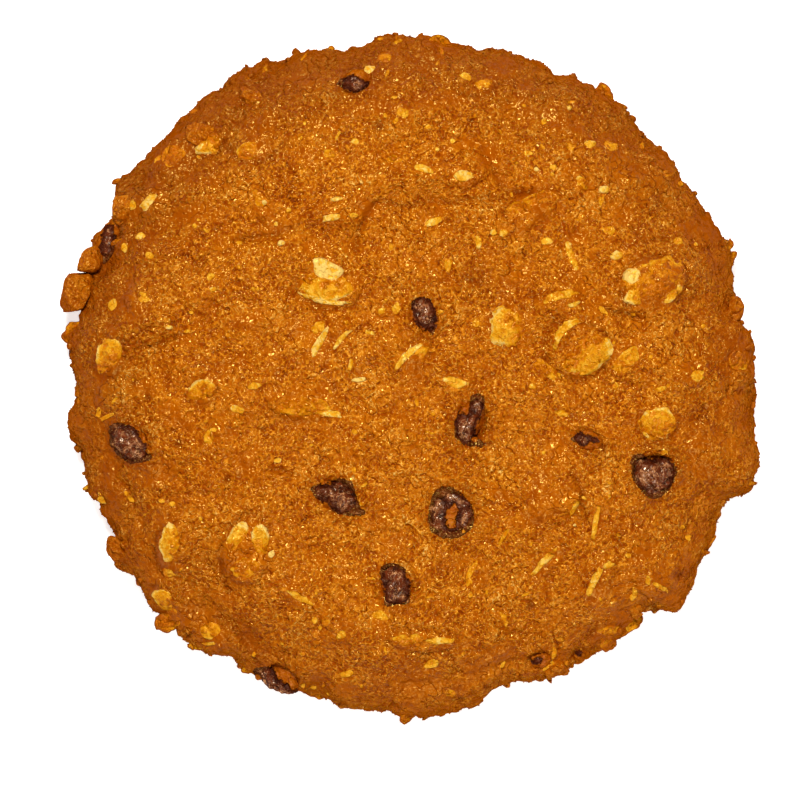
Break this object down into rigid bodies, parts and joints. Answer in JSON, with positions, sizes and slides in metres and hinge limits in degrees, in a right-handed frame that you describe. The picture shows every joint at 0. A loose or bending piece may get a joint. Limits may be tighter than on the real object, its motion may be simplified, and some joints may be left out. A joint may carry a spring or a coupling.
{
  "type": "oatmeal raisin cookie",
  "caption": "Thick round oatmeal cookie with a rough golden-brown crust, baked-in oat flakes, wrinkled dark raisins and a flat baked underside.",
  "frame": {"origin": "middle of the cookie's bounding box, on the flat baked underside at z = 0", "axes": "+Z up out of the crust; +X to the right and +Y up as the cookie is seen from above"},
  "size_m": [0.1042, 0.1024, 0.0148],
  "materials": {
    "dough": "baked crust, satin with a slight gloss where the dough's film is smooth",
    "raisin": "wrinkled dark skin, satin"
  },
  "bodies": {
    "root": {"dough": "dough", "raisin_centre": "raisin", "raisin_comma": "raisin", "raisin_flank": "raisin", "raisin_glint": "raisin", "raisin_heart": "raisin", "raisin_left": "raisin", "raisin_low": "raisin", "raisin_peep": "raisin", "raisin_pointed": "raisin", "raisin_rim": "raisin", "raisin_ring": "raisin", "raisin_small": "raisin", "raisin_top": "raisin"}
  },
  "joints": []
}
